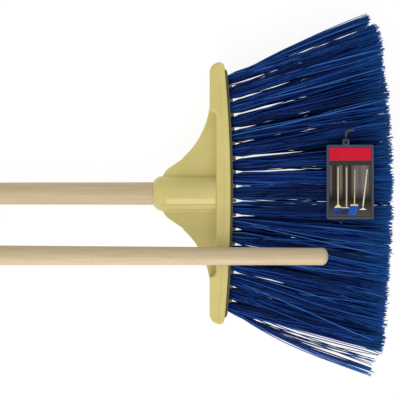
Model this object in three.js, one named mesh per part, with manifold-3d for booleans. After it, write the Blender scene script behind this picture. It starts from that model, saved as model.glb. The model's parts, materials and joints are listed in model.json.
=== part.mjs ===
// A fan broom with a two-section wooden handle, lying on the floor.
// Millimetres, +Z up, +X along the handle towards the bristles.
//
// The head, bristles and lower handle are built about the handle's axis:
// X is 0 at the mouth of the handle socket, Y runs along the head, Z through its thickness.
// The whole broom is then tipped by the small angle at which it really lies,
// on the tips of its lowest bristles and the far end of its handle.

import * as THREE from 'three';
import { mergeVertices } from 'three/addons/utils/BufferGeometryUtils.js';
import Module from 'manifold-3d';

const wasm = await Module();
wasm.setup();

// Clearances.
const FIT = 0.3; // between pieces that touch
const LOOSE_FIT = 0.5; // under the upper section, which lifts off

// Head shell.
const HEAD_LENGTH = 275; // end to end over the rim
const RIM_DEPTH = 6; // back from the face
const RIM_STEP = 2; // how far the rim stands proud of the block
const FACE_AT_AXIS = 82; // from the socket mouth to the face
const FACE_RADIUS = 1390; // the face is a shallow arc
const BLOCK_BACK = 60; // back of the block at its two ends
const BAND_BACK = 67; // back of the block between them
const BAND_HALF = 78; // half the length of the set-forward stretch
const BAND_RUN = 18; // length over which the back edge steps forward
const CORNER_RADIUS = 10;
const FACE_CORNER_RADIUS = 7; // limited by the rim's depth
const FLARE_RADIUS = 83.4; // the two concave sides of the neck
const FLARE_END = 100.9; // where a concave side meets the block
const FLARE_START = 10.6;
const EASE_END = 20.5; // up to here the sides are eased into the boss
const WEB_HEIGHT = 16;
const BOSS_WALL = 8.2; // round the socket
const COLLAR_WALL = 6.3;
const NOSE_WALL = 1.1; // at the socket mouth
const NOSE_LENGTH = 7;
const MOUTH_CHAMFER = 0.7;
const EDGE_ROUND = 2.5; // on the moulded edges
const POCKET_WALL = 4.5; // round the tuft block
const POCKET_DEPTH = 10;
const SOCKET_DEPTH = 62;

// Tuft block and tufts.
const BLOCK_PROUD = 2.5; // how far the tuft block stands out of the rim
const TUFTS_PER_ROW = 17;
const ROW_END_INSET = 17.5; // from the head's end to the middle of the last tuft
const ROWS = [['top', 1], ['mid', 0], ['low', -1]];
const ROW_PITCH = 14;
const FAN_ANGLE = 21.5; // of the two end tufts, in degrees
const TUFT_REACH = 170; // free length
const ROW_SPREAD = 8; // how much further apart the rows are at their tips
const TUFT_GRIP = 10; // length held in the hole
const ROOT_RADIUS = 3.2;
const BELLY_AT = 51; // distance from the face at which neighbours nearly meet
const TUFT_GAP = 0.2; // half the gap between full neighbours
const TUFT_SIDES = 8;
const BLOCK_EDGE = 2.7; // of the tuft block, outside the outer holes

// Lower handle and its coupling.
const HANDLE_RADIUS = 12; // at the socket
const COUPLING_RADIUS = 11.2; // at the coupling, on both sections
const LOWER_LENGTH = 600;
const CHAMFER = 1.5;
const SLEEVE_GRIP = 40; // length of sleeve over each section
const SLEEVE_WALL = 1.2;
const STOP_WIDTH = 3; // rolled bead that stops both sections
const STOP_DEPTH = 1.3;
const RIVET_RADIUS = 1.5;
const RIVET_HEAD_RADIUS = 3;
const RIVET_HEAD_HEIGHT = 1.1;
const RIVET_INSET = 14; // from the sleeve's edge

// Upper handle, lying across the head.
const UPPER_LENGTH = 600;
const UPPER_BELLY_RADIUS = 10.6;
const UPPER_BELLY_AT = 250; // from the coupling end
const UPPER_TIP_RADIUS = 8.95;
const DOME_HEIGHT = 6.2;
const UPPER_TIP_X = 181.8;
const UPPER_Y = -65.4;

// Hang tag.
const TAG_WIDTH = 49;
const TAG_LENGTH = 77.4;
const TAG_THICKNESS = 1.8;
const TAG_CORNER = 2;
const TAG_BORDER = 2.4;
const TAG_RECESS = 1;
const CARD_THICKNESS = 0.5;
const TAG_X = 206.5;
const TAG_Y = 11.8;
const TAB_OFFSET = -4.4; // of the tab, from the tag's middle
const TAB_WIDTH = 7;
const TAB_LENGTH = 6;
const TAB_BAR = 1.5; // material above the slot
const SLOT_WIDTH = 2.8;
const SLOT_LENGTH = 3.6;
const WIRE_RADIUS = 0.7;
const RING_RADIUS = 2.6;

// Worked out from the above.
const TUFT_PITCH = (HEAD_LENGTH - 2 * ROW_END_INSET) / (TUFTS_PER_ROW - 1);
const BLOCK_HEIGHT = 2 * (ROW_PITCH + ROOT_RADIUS + FIT + BLOCK_EDGE);
const RIM_HEIGHT = BLOCK_HEIGHT + 2 * (FIT + POCKET_WALL); // the head's full thickness
const SOCKET_RADIUS = HANDLE_RADIUS + FIT;
const BOSS_RADIUS = SOCKET_RADIUS + BOSS_WALL;
const COLLAR_RADIUS = SOCKET_RADIUS + COLLAR_WALL;
const NOSE_RADIUS = SOCKET_RADIUS + NOSE_WALL;
const TAG_LIFT = RING_RADIUS + WIRE_RADIUS - TAG_THICKNESS / 2 + 2 * FIT; // the ring clears the bristles
const BELLY_RADIUS = fullRadius(BELLY_AT);
const TIP_RADIUS = fullRadius(TUFT_REACH);

const ROUND_SIDES = 32;
const HOLE_SIDES = 8;
const REACH = 40; // extra length on a cutting tool

// Helpers ------------------------------------------------------------------

// The radius at which tufts meet their neighbours, at a distance from the face.
function fullRadius(reach) {
  const fan = THREE.MathUtils.degToRad(FAN_ANGLE);
  const between = (2 * fan) / (TUFTS_PER_ROW - 1);
  const alongRow = TUFT_PITCH * Math.cos(fan) + reach * between;
  const acrossRows = ROW_PITCH + (ROW_SPREAD * reach) / TUFT_REACH;
  return Math.max(ROOT_RADIUS, Math.min(alongRow, acrossRows) / 2 - TUFT_GAP);
}

function finish(colour, roughness, metalness = 0) {
  return new THREE.MeshStandardMaterial({ color: colour, roughness, metalness });
}

function piece(name, geometry, material) {
  const mesh = new THREE.Mesh(geometry, material);
  mesh.name = name;
  return mesh;
}

function toSolid(geometry) {
  const bare = geometry.clone();
  bare.deleteAttribute('normal');
  bare.deleteAttribute('uv');
  const merged = mergeVertices(bare, 1e-4);
  const corners = merged.index.array;
  const triangles = [];
  for (let i = 0; i < corners.length; i += 3) {
    const [a, b, c] = corners.slice(i, i + 3);
    if (a !== b && b !== c && c !== a) triangles.push(a, b, c);
  }
  return new wasm.Manifold(new wasm.Mesh({
    numProp: 3,
    vertProperties: Float32Array.from(merged.attributes.position.array),
    triVerts: Uint32Array.from(triangles),
  }));
}

function toGeometry(solid) {
  const mesh = solid.getMesh();
  const geometry = new THREE.BufferGeometry();
  geometry.setAttribute('position', new THREE.BufferAttribute(Float32Array.from(mesh.vertProperties), 3));
  geometry.setIndex(Array.from(mesh.triVerts));
  geometry.computeVertexNormals();
  return geometry;
}

// A plan outline given thickness about Z = 0, with its edges rounded.
function slab(outline, height, round, curveSegments) {
  const geometry = new THREE.ExtrudeGeometry(outline, {
    depth: height - 2 * round,
    bevelEnabled: round > 0,
    bevelThickness: round,
    bevelSize: round,
    bevelOffset: -round,
    bevelSegments: 2,
    curveSegments,
  });
  return geometry.translate(0, 0, round - height / 2);
}

// A turned piece along +X, from [along, radius] points.
function turned(points, sides = ROUND_SIDES) {
  const profile = points.map(([along, radius]) => new THREE.Vector2(radius, along));
  return new THREE.LatheGeometry(profile, sides).rotateZ(-Math.PI / 2);
}

function ellipseArc(centre, along, across, steps) {
  const points = [];
  for (let i = 0; i <= steps; i += 1) {
    const angle = (Math.PI / 2) * (i / steps);
    points.push([centre + along * Math.sin(angle), across * Math.cos(angle)]);
  }
  return points;
}

// Head ---------------------------------------------------------------------

// X of the face, or of a parallel curve behind it, at a place along the head.
function faceAt(y, behind = 0) {
  return FACE_AT_AXIS - behind - FACE_RADIUS + Math.sqrt(FACE_RADIUS ** 2 - y ** 2);
}

// A strip that follows the face, from one depth behind it to another.
function faceStrip(halfLength, front, back, corner) {
  const outline = new THREE.Shape();
  const steps = 16;
  const inner = halfLength - corner;
  outline.moveTo(faceAt(halfLength, back), -halfLength);
  outline.lineTo(faceAt(halfLength, front) - corner, -halfLength);
  outline.quadraticCurveTo(faceAt(halfLength, front), -halfLength, faceAt(inner, front), -inner);
  for (let i = 1; i <= steps; i += 1) {
    const y = -inner + (2 * inner * i) / steps;
    outline.lineTo(faceAt(y, front), y);
  }
  const cornerX = faceAt(halfLength, front);
  outline.quadraticCurveTo(cornerX, halfLength, cornerX - corner, halfLength);
  outline.lineTo(faceAt(halfLength, back), halfLength);
  for (let i = 1; i < steps; i += 1) {
    const y = halfLength - (2 * halfLength * i) / steps;
    outline.lineTo(faceAt(y, back), y);
  }
  return outline;
}

function blockOutline() {
  const half = HEAD_LENGTH / 2 - RIM_STEP;
  const step = BAND_HALF + BAND_RUN;
  const front = faceAt(half, RIM_STEP);
  const corner = Math.min(CORNER_RADIUS, front - EDGE_ROUND - BLOCK_BACK);
  const cornerX = BLOCK_BACK + corner;
  const cornerY = half - corner;
  const outline = new THREE.Shape();
  outline.moveTo(BAND_BACK, BAND_HALF);
  outline.bezierCurveTo(
    BAND_BACK, BAND_HALF + BAND_RUN / 2, BLOCK_BACK, step - BAND_RUN / 2, BLOCK_BACK, step,
  );
  outline.lineTo(BLOCK_BACK, cornerY);
  outline.absarc(cornerX, cornerY, corner, Math.PI, Math.PI / 2, true);
  outline.lineTo(front, half);
  outline.lineTo(faceAt(half / 2, RIM_STEP), half / 2);
  outline.lineTo(faceAt(half / 2, RIM_STEP), -half / 2);
  outline.lineTo(front, -half);
  outline.lineTo(cornerX, -half);
  outline.absarc(cornerX, -cornerY, corner, -Math.PI / 2, Math.PI, true);
  outline.lineTo(BLOCK_BACK, -step);
  outline.bezierCurveTo(
    BLOCK_BACK, BAND_RUN / 2 - step, BAND_BACK, -BAND_HALF - BAND_RUN / 2, BAND_BACK, -BAND_HALF,
  );
  return outline;
}

// The neck between the boss and the block: two concave arcs, eased into the boss.
function webOutline() {
  const centreX = BLOCK_BACK - FLARE_RADIUS;
  const start = Math.acos((EASE_END - centreX) / FLARE_RADIUS);
  const easeY = FLARE_END - FLARE_RADIUS * Math.sin(start);
  const startY = BOSS_RADIUS - 1;
  const bendX = FLARE_START + (EASE_END - FLARE_START) * 0.35;
  const bendY = startY + (easeY - startY) * 0.65;
  const front = BAND_BACK + RIM_DEPTH;
  const outline = new THREE.Shape();
  outline.moveTo(front, -FLARE_END);
  outline.lineTo(front, FLARE_END);
  outline.lineTo(BLOCK_BACK, FLARE_END);
  outline.absarc(centreX, FLARE_END, FLARE_RADIUS, 0, -start, true);
  outline.quadraticCurveTo(bendX, bendY, FLARE_START, startY);
  outline.lineTo(FLARE_START, -startY);
  outline.quadraticCurveTo(bendX, -bendY, EASE_END, -easeY);
  outline.absarc(centreX, -FLARE_END, FLARE_RADIUS, start, 0, true);
  return outline;
}

function bossProfile() {
  const nose = ellipseArc(0, NOSE_LENGTH, COLLAR_RADIUS - NOSE_RADIUS, 4)
    .map(([along, across]) => [NOSE_LENGTH - along, NOSE_RADIUS + across])
    .reverse();
  const end = BAND_BACK + RIM_DEPTH / 2;
  return [
    [0, 0],
    ...nose,
    [FLARE_START - 1.4, COLLAR_RADIUS],
    [FLARE_START, BOSS_RADIUS],
    [end, BOSS_RADIUS],
    [end, 0],
  ];
}

function headShell() {
  const rimCorner = Math.min(FACE_CORNER_RADIUS, 0.8 * RIM_DEPTH);
  const rim = slab(faceStrip(HEAD_LENGTH / 2, 0, RIM_DEPTH, rimCorner), RIM_HEIGHT, RIM_STEP / 2, 3);
  const block = slab(blockOutline(), RIM_HEIGHT - 2 * RIM_STEP, EDGE_ROUND, 5);
  const web = slab(webOutline(), WEB_HEIGHT, EDGE_ROUND, 14);
  const boss = turned(bossProfile());
  const socket = turned([
    [-REACH, 0],
    [-REACH, SOCKET_RADIUS + REACH],
    [0, SOCKET_RADIUS + MOUTH_CHAMFER],
    [MOUTH_CHAMFER, SOCKET_RADIUS],
    [SOCKET_DEPTH, SOCKET_RADIUS],
    [SOCKET_DEPTH, 0],
  ]);
  const pocketHalf = HEAD_LENGTH / 2 - RIM_STEP - POCKET_WALL;
  const pocketHeight = BLOCK_HEIGHT + 2 * FIT;
  const pocket = slab(faceStrip(pocketHalf, -REACH, POCKET_DEPTH, 0.5), pocketHeight, 0, 1);
  const shell = toSolid(block)
    .add(toSolid(rim))
    .add(toSolid(web))
    .add(toSolid(boss))
    .subtract(toSolid(socket))
    .subtract(toSolid(pocket));
  return piece('head_shell', toGeometry(shell), finish(0xc8be78, 0.42));
}

// Where each tuft leaves the block and which way it points.
function tuftPlace(side, index) {
  const fromMiddle = index - (TUFTS_PER_ROW - 1) / 2;
  const share = fromMiddle / ((TUFTS_PER_ROW - 1) / 2);
  const fan = THREE.MathUtils.degToRad(FAN_ANGLE * share);
  const lift = Math.asin((ROW_SPREAD * side) / TUFT_REACH);
  const y = fromMiddle * TUFT_PITCH;
  return {
    root: new THREE.Vector3(faceAt(y, -BLOCK_PROUD), y, side * ROW_PITCH),
    direction: new THREE.Vector3(
      Math.cos(fan) * Math.cos(lift),
      Math.sin(fan) * Math.cos(lift),
      Math.sin(lift),
    ),
  };
}

function aim(object, place) {
  object.position.copy(place.root);
  object.quaternion.setFromUnitVectors(new THREE.Vector3(1, 0, 0), place.direction);
  return object;
}

function tuftBlock() {
  const half = HEAD_LENGTH / 2 - RIM_STEP - POCKET_WALL - FIT;
  let block = toSolid(slab(faceStrip(half, -BLOCK_PROUD, POCKET_DEPTH - FIT, 4), BLOCK_HEIGHT, 0, 3));
  const hole = turned([
    [-TUFT_GRIP - FIT, 0],
    [-TUFT_GRIP - FIT, ROOT_RADIUS + FIT],
    [REACH, ROOT_RADIUS + FIT],
    [REACH, 0],
  ], HOLE_SIDES);
  for (const [, side] of ROWS) {
    for (let i = 0; i < TUFTS_PER_ROW; i += 1) {
      const tool = aim(new THREE.Object3D(), tuftPlace(side, i));
      tool.updateMatrix();
      block = block.subtract(toSolid(hole.clone().applyMatrix4(tool.matrix)));
    }
  }
  return piece('tuft_block', toGeometry(block), finish(0x3b3528, 0.6));
}

function tufts() {
  const group = new THREE.Group();
  const shape = [
    [-TUFT_GRIP, 0],
    [-TUFT_GRIP, ROOT_RADIUS],
    [FIT, ROOT_RADIUS],
    [BELLY_AT, BELLY_RADIUS],
    [TUFT_REACH, TIP_RADIUS],
    [TUFT_REACH, 0],
  ];
  for (const [row, side] of ROWS) {
    for (let i = 0; i < TUFTS_PER_ROW; i += 1) {
      const number = String(i + 1).padStart(2, '0');
      const tuft = piece(`tuft_${row}_${number}`, turned(shape, TUFT_SIDES), finish(0x14285a, 0.5));
      group.add(aim(tuft, tuftPlace(side, i)));
    }
  }
  return group;
}

// Handle -------------------------------------------------------------------

function rivetHole(along, length) {
  const tool = new THREE.CylinderGeometry(RIVET_RADIUS + FIT, RIVET_RADIUS + FIT, length, 12);
  return toSolid(tool.translate(along, 0, 0));
}

// Lower section, measured from its end in the socket; it runs towards -X.
function lowerHandle() {
  const group = new THREE.Group();
  const sleeveStart = LOWER_LENGTH - SLEEVE_GRIP;
  const sleeveEnd = LOWER_LENGTH + FIT + STOP_WIDTH + FIT + SLEEVE_GRIP;
  const stop = LOWER_LENGTH + FIT;
  const bore = COUPLING_RADIUS + FIT;
  const outside = bore + SLEEVE_WALL;
  const rivetAt = sleeveStart + RIVET_INSET;

  const stick = turned([
    [0, 0],
    [0, HANDLE_RADIUS - CHAMFER],
    [CHAMFER, HANDLE_RADIUS],
    [SOCKET_DEPTH, HANDLE_RADIUS],
    [sleeveStart - CHAMFER, COUPLING_RADIUS],
    [LOWER_LENGTH - CHAMFER, COUPLING_RADIUS],
    [LOWER_LENGTH, COUPLING_RADIUS - CHAMFER],
    [LOWER_LENGTH, 0],
  ]);
  const drilled = toSolid(stick).subtract(rivetHole(rivetAt, 4 * HANDLE_RADIUS));
  group.add(piece('handle_lower', toGeometry(drilled), finish(0xd2b88c, 0.6)));

  const sleeve = turned([
    [sleeveStart, bore],
    [sleeveStart, outside],
    [stop - 1, outside],
    [stop, outside - STOP_DEPTH],
    [stop + STOP_WIDTH, outside - STOP_DEPTH],
    [stop + STOP_WIDTH + 1, outside],
    [sleeveEnd, outside],
    [sleeveEnd, bore],
    [stop + STOP_WIDTH, bore],
    [stop + STOP_WIDTH, bore - STOP_DEPTH],
    [stop, bore - STOP_DEPTH],
    [stop, bore],
    [sleeveStart, bore],
  ]);
  const pierced = toSolid(sleeve).subtract(rivetHole(rivetAt, 4 * HANDLE_RADIUS));
  group.add(piece('coupling_sleeve', toGeometry(pierced), finish(0xb9bcc0, 0.35, 1)));

  const seat = outside + FIT;
  const head = [
    [seat, RIVET_HEAD_RADIUS],
    [seat + RIVET_HEAD_HEIGHT * 0.6, RIVET_HEAD_RADIUS * 0.85],
    [seat + RIVET_HEAD_HEIGHT, RIVET_HEAD_RADIUS * 0.4],
    [seat + RIVET_HEAD_HEIGHT, 0],
  ];
  const rivet = turned([
    ...head.map(([along, radius]) => [-along, radius]).reverse(),
    [-seat, RIVET_RADIUS],
    [seat, RIVET_RADIUS],
    ...head,
  ], 12).rotateZ(Math.PI / 2).translate(rivetAt, 0, 0);
  group.add(piece('sleeve_rivet', rivet, finish(0xa8abb0, 0.4, 1)));

  group.rotation.z = Math.PI;
  group.position.x = SOCKET_DEPTH - FIT;
  return { group, heel: new THREE.Vector3(SOCKET_DEPTH - FIT - sleeveEnd, 0, -outside) };
}

function upperHandle() {
  const stick = turned([
    [0, 0],
    [0, COUPLING_RADIUS - CHAMFER],
    [CHAMFER, COUPLING_RADIUS],
    [SLEEVE_GRIP, COUPLING_RADIUS],
    [UPPER_BELLY_AT, UPPER_BELLY_RADIUS],
    ...ellipseArc(UPPER_LENGTH - DOME_HEIGHT, DOME_HEIGHT, UPPER_TIP_RADIUS, 6).slice(0, -1),
    [UPPER_LENGTH, 0],
  ]);
  return piece('handle_upper', stick, finish(0xd8c29a, 0.6));
}

// Hang tag -----------------------------------------------------------------

function roundedRectangle(width, length, corner) {
  const x = width / 2 - corner;
  const y = length / 2 - corner;
  const outline = new THREE.Shape();
  outline.absarc(x, -y, corner, -Math.PI / 2, 0, false);
  outline.absarc(x, y, corner, 0, Math.PI / 2, false);
  outline.absarc(-x, y, corner, Math.PI / 2, Math.PI, false);
  outline.absarc(-x, -y, corner, Math.PI, 1.5 * Math.PI, false);
  return outline;
}

// Frame, card and wire hook. Z is 0 at the middle of the frame's thickness.
function hangTag() {
  const group = new THREE.Group();
  const barY = TAG_LENGTH / 2 + TAB_LENGTH - TAB_BAR / 2;
  const slotMiddle = barY - TAB_BAR / 2 - SLOT_LENGTH / 2;
  const tabJoin = TAG_LENGTH / 2 - TAG_BORDER / 2;

  const plate = slab(roundedRectangle(TAG_WIDTH, TAG_LENGTH, TAG_CORNER), TAG_THICKNESS, 0, 3);
  const tab = new THREE.BoxGeometry(TAB_WIDTH, TAG_LENGTH / 2 + TAB_LENGTH - tabJoin, TAG_THICKNESS);
  tab.translate(TAB_OFFSET, (TAG_LENGTH / 2 + TAB_LENGTH + tabJoin) / 2, 0);
  const slot = new THREE.BoxGeometry(SLOT_WIDTH, SLOT_LENGTH, 2 * TAG_THICKNESS);
  slot.translate(TAB_OFFSET, slotMiddle, 0);
  const innerWidth = TAG_WIDTH - 2 * TAG_BORDER;
  const innerLength = TAG_LENGTH - 2 * TAG_BORDER;
  const recess = new THREE.BoxGeometry(innerWidth, innerLength, 2 * TAG_RECESS);
  recess.translate(0, 0, TAG_THICKNESS / 2);
  const frame = toSolid(plate).add(toSolid(tab)).subtract(toSolid(slot)).subtract(toSolid(recess));
  group.add(piece('tag_frame', toGeometry(frame), finish(0x3b4256, 0.45)));

  const card = new THREE.BoxGeometry(innerWidth - 2 * FIT, innerLength - 2 * FIT, CARD_THICKNESS);
  card.translate(0, 0, TAG_THICKNESS / 2 - TAG_RECESS + FIT + CARD_THICKNESS / 2);
  group.add(piece('tag_card', card, finish(0xb8303c, 0.5)));

  const ring = new THREE.TorusGeometry(RING_RADIUS, WIRE_RADIUS, 8, 20).rotateY(Math.PI / 2);
  ring.translate(TAB_OFFSET, barY, 0);
  const shankStart = barY + RING_RADIUS;
  const route = new THREE.CatmullRomCurve3([
    new THREE.Vector3(TAB_OFFSET, shankStart, 0),
    new THREE.Vector3(TAB_OFFSET, shankStart + 3, 0),
    new THREE.Vector3(TAB_OFFSET + 1.2, shankStart + 6, 0.2),
    new THREE.Vector3(TAB_OFFSET + 4, shankStart + 7.6, 0.3),
    new THREE.Vector3(TAB_OFFSET + 7, shankStart + 7.8, 0.3),
    new THREE.Vector3(TAB_OFFSET + 8.6, shankStart + 7.7, 0),
  ]);
  const wire = new THREE.Shape();
  wire.absarc(0, 0, WIRE_RADIUS, 0, 2 * Math.PI, false);
  const shank = new THREE.ExtrudeGeometry(wire, {
    steps: 16,
    curveSegments: 4,
    extrudePath: route,
    bevelEnabled: false,
  });
  const hook = toSolid(ring).add(toSolid(shank));
  group.add(piece('tag_hook', toGeometry(hook), finish(0x45463a, 0.5)));
  return group;
}

// Height of the top row's upper side above the handle's axis, and its slope.
function bristleTop(x) {
  const tipX = FACE_AT_AXIS + BLOCK_PROUD + TUFT_REACH;
  const bellyTop = ROW_PITCH + (ROW_SPREAD * BELLY_AT) / TUFT_REACH + BELLY_RADIUS;
  const tipTop = ROW_PITCH + ROW_SPREAD + TIP_RADIUS;
  const slope = (tipTop - bellyTop) / (TUFT_REACH - BELLY_AT);
  return { height: tipTop + slope * (x - tipX), angle: Math.atan(slope) };
}

// Assembly -----------------------------------------------------------------

const attached = new THREE.Group();
const lower = lowerHandle();
attached.add(headShell(), tuftBlock(), tufts(), lower.group);

const tag = hangTag();
const bed = bristleTop(TAG_X);
tag.position.set(TAG_X, TAG_Y, bed.height + TAG_LIFT + TAG_THICKNESS / 2);
tag.rotation.y = -bed.angle;
attached.add(tag);

// The line the broom lies on runs from the heel of the sleeve under everything else.
function lowestSlope(group, heel) {
  let slope = 0;
  const point = new THREE.Vector3();
  group.updateMatrixWorld(true);
  group.traverse((mesh) => {
    if (!mesh.isMesh || mesh.name === 'coupling_sleeve') return;
    const corners = mesh.geometry.attributes.position;
    for (let i = 0; i < corners.count; i += 1) {
      point.fromBufferAttribute(corners, i).applyMatrix4(mesh.matrixWorld);
      slope = Math.min(slope, (point.z - heel.z) / (point.x - heel.x));
    }
  });
  return slope;
}

const tilt = Math.atan(lowestSlope(attached, lower.heel));
attached.rotation.y = tilt;
attached.updateMatrixWorld(true);
attached.position.z = -lower.heel.clone().applyMatrix4(attached.matrixWorld).z;
attached.updateMatrixWorld(true);

// The upper section's coupling end is on the floor and it leans over the rim's upper edge.
const rimEdge = new THREE.Vector3(faceAt(UPPER_Y, RIM_DEPTH / 2), UPPER_Y, RIM_HEIGHT / 2)
  .applyMatrix4(attached.matrixWorld);
const upper = upperHandle();
const offFloor = COUPLING_RADIUS + LOOSE_FIT;
let lean = 0;
let heelX = 0;
// The tip stays at its place while the lean settles.
for (let i = 0; i < 6; i += 1) {
  heelX = UPPER_TIP_X - UPPER_LENGTH * Math.cos(lean) + offFloor * Math.sin(lean);
  const alongFloor = rimEdge.x - heelX;
  const rimAlong = (alongFloor - UPPER_BELLY_AT) / (UPPER_LENGTH - UPPER_BELLY_AT);
  const radiusAtRim = THREE.MathUtils.lerp(UPPER_BELLY_RADIUS, UPPER_TIP_RADIUS, rimAlong);
  const rise = Math.atan2(rimEdge.z, alongFloor);
  const narrowing = Math.asin((radiusAtRim - COUPLING_RADIUS) / Math.hypot(alongFloor, rimEdge.z));
  lean = rise + narrowing;
}
upper.rotation.y = -lean;
upper.position.set(heelX - offFloor * Math.sin(lean), UPPER_Y, offFloor * Math.cos(lean));

// The origin is under the middle of everything, on the floor.
const broom = new THREE.Group();
broom.add(attached, upper);
broom.updateMatrixWorld(true);
const extent = new THREE.Box3().setFromObject(broom, true);
const middle = extent.getCenter(new THREE.Vector3());
broom.position.set(-middle.x, -middle.y, -extent.min.z);
broom.updateMatrixWorld(true);

export default broom;
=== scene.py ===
# %% [markdown]
# # A fan broom with a two-section handle
# The broom lies flat on a pale floor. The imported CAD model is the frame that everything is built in:
# it holds the sizes, the places and the joints. This script loads it, models the fine pieces on top of
# it with Blender's own tools, and gives every surface a finish.
# %% Load the frame
import json
import math

import bpy
import numpy as np
from mathutils import Matrix, Vector


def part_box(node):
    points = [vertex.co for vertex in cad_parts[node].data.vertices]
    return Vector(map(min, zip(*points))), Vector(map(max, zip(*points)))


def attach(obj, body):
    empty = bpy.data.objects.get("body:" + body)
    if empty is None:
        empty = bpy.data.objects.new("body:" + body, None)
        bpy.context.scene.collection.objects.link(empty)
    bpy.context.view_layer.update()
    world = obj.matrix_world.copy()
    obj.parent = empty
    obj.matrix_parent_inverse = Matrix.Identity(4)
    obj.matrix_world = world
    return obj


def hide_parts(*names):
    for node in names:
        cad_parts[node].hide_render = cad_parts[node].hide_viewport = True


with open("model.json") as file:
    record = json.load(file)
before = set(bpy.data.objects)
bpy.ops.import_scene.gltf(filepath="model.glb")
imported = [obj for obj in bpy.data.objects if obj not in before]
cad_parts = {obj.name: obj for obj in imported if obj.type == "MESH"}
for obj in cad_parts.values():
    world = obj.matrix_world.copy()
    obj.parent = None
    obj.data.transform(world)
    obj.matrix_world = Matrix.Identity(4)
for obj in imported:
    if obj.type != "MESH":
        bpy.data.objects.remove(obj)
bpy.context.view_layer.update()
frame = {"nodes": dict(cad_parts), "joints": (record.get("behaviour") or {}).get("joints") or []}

# %% [markdown]
# ## The broom's own axes
# The broom doesn't lie quite level: it rests on its lowest bristle tips and on the far end of its
# handle. All pieces are modelled level, with X along the handle from the mouth of the socket, Y along
# the head and Z through its thickness. One matrix then lays each finished mesh in its place.
# The handle's pull-out joint gives the direction, and the steel sleeve, which is the same all round,
# gives a point on the axis.
# %% Lay-down matrix
MM = 0.001
NOSE_RADIUS = 13.4 * MM  # the socket's mouth, whose lowest edge is where the head's box begins

joints = {joint["name"]: joint for joint in frame["joints"]}
along = -Vector(joints["handle_pull"]["axis"]).normalized()
across = Vector((0, 1, 0))


def middle(node):
    low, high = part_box(node)
    return (low + high) / 2


def lay_matrix(origin, x_axis):
    z_axis = x_axis.cross(across)
    turn = Matrix((x_axis, across, z_axis)).transposed()
    return Matrix.Translation(origin) @ turn.to_4x4()


sleeve_middle = middle("coupling_sleeve")
mouth_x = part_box("head_shell")[0].x + NOSE_RADIUS * along.z
mouth = sleeve_middle + along * ((mouth_x - sleeve_middle.x) / along.x)
BROOM = lay_matrix(mouth, along)
print("tilt", round(math.degrees(math.asin(along.z)), 3), "mouth", [round(v, 5) for v in mouth])

# %% [markdown]
# ## Small modelling helpers
# Operators act on everything that is selected, and loading leaves the CAD nodes selected, so each
# piece starts by clearing the selection. A finished piece gets its place baked into its mesh.
# %% Modelling helpers
def clear_selection():
    if bpy.context.object and bpy.context.object.mode == "EDIT":
        bpy.ops.object.mode_set(mode="OBJECT")
    bpy.ops.object.select_all(action="DESELECT")


def start_piece(name, add_primitive, **settings):
    clear_selection()
    add_primitive(**settings)
    piece = bpy.context.object
    piece.name = name
    piece.data.name = name
    return piece


def apply_transform(piece):
    clear_selection()
    piece.select_set(True)
    bpy.context.view_layer.objects.active = piece
    bpy.ops.object.transform_apply(location=True, rotation=True, scale=True)


def add_modifier(piece, kind, **settings):
    clear_selection()
    piece.select_set(True)
    bpy.context.view_layer.objects.active = piece
    modifier = piece.modifiers.new(kind.title(), kind)
    for key, value in settings.items():
        setattr(modifier, key, value)
    bpy.ops.object.modifier_apply(modifier=modifier.name)


def cut_or_join(piece, tool, operation):
    add_modifier(piece, "BOOLEAN", object=tool, operation=operation, solver="EXACT")
    bpy.data.objects.remove(tool)


def smooth(piece, angle=35):
    clear_selection()
    piece.select_set(True)
    bpy.context.view_layer.objects.active = piece
    bpy.ops.object.shade_smooth_by_angle(angle=math.radians(angle))


def place(piece, matrix, body, material, replaced):
    piece.data.transform(matrix)
    piece.data.materials.clear()
    piece.data.materials.append(material)
    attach(piece, body)
    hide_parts(*replaced)
    print(piece.name, len(piece.data.polygons), "faces")
    return piece


# %% [markdown]
# A turned or moulded round piece is a profile spun about its axis, as on a lathe. The profile is a
# short chain of points, each a distance along X and a radius. Spinning leaves a doubled seam and may
# turn the surface inside out, so the seam is merged and the faces are made to point outwards.
# %% Spun pieces
def spun(name, profile, steps=96):
    piece = start_piece(name, bpy.ops.mesh.primitive_plane_add, size=1)
    mesh = piece.data
    mesh.clear_geometry()
    points = [(x, 0, radius) for x, radius in profile]
    mesh.from_pydata(points, [(i, i + 1) for i in range(len(points) - 1)], [])
    bpy.ops.object.mode_set(mode="EDIT")
    bpy.ops.mesh.select_all(action="SELECT")
    bpy.ops.mesh.spin(steps=steps, angle=math.tau, center=(0, 0, 0), axis=(1, 0, 0))
    bpy.ops.mesh.select_all(action="SELECT")
    bpy.ops.mesh.remove_doubles(threshold=1e-6)
    bpy.ops.mesh.select_all(action="SELECT")
    bpy.ops.mesh.normals_make_consistent(inside=False)
    bpy.ops.object.mode_set(mode="OBJECT")
    return piece


def rounded_end(x, radius, reach, steps=8):
    """Quarter-ellipse from the full radius to the axis, ending reach further along X."""
    turn = [math.pi / 2 * i / steps for i in range(steps + 1)]
    return [(x + reach * math.sin(a), radius * math.cos(a)) for a in turn]


# %% [markdown]
# ## Colour and node helpers
# Colours are written as the sRGB hex values that a designer would pick, and turned to the linear
# values that the renderer works in. One function adds any node with its settings and its links.
# %% Material helpers
def linear(hex_colour):
    parts = [int(hex_colour[i:i + 2], 16) / 255 for i in (0, 2, 4)]
    return [p / 12.92 if p <= 0.04045 else ((p + 0.055) / 1.055) ** 2.4 for p in parts] + [1.0]


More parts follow.
